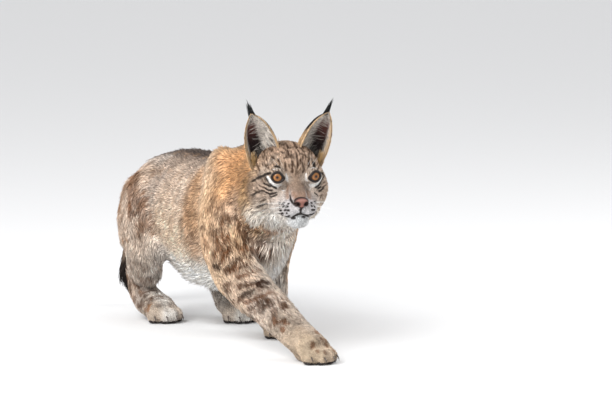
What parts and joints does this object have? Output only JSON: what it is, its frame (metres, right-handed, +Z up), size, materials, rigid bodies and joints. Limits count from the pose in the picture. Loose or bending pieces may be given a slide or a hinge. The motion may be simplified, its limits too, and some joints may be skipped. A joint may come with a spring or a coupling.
{
  "type": "young eurasian lynx",
  "caption": "Life-size still model of a young Eurasian lynx in winter coat, stalking low with one forefoot stretched out, head turned to its right.",
  "frame": {"origin": "on the floor, below the middle of the animal's bounding box", "axes": "+X forward along the body, +Y to the animal's left, +Z up; the soles stand on Z = 0"},
  "size_m": [0.8458, 0.2412, 0.4181],
  "materials": {
    "buff_coat": "dense winter fur, buff with brown spots",
    "rufous_coat": "dense winter fur, rufous with dark bars",
    "black_coat": "dense winter fur, black",
    "amber_eye": "wet, glossy eyeball with amber iris",
    "nose_leather": "bare pink-brown nose leather, satin"
  },
  "bodies": {
    "root": {"ear_left": "buff_coat", "ear_right": "buff_coat", "eye_left": "amber_eye", "eye_right": "amber_eye", "forearm_left": "rufous_coat", "forearm_right": "rufous_coat", "forepaw_left": "buff_coat", "forepaw_right": "buff_coat", "head": "buff_coat", "hind_foot_left": "buff_coat", "hind_foot_right": "buff_coat", "neck": "rufous_coat", "nose": "nose_leather", "shank_left": "buff_coat", "shank_right": "buff_coat", "tail": "buff_coat", "tail_tip": "black_coat", "thigh_left": "buff_coat", "thigh_right": "buff_coat", "torso": "buff_coat", "upper_arm_left": "rufous_coat", "upper_arm_right": "rufous_coat"}
  },
  "joints": []
}
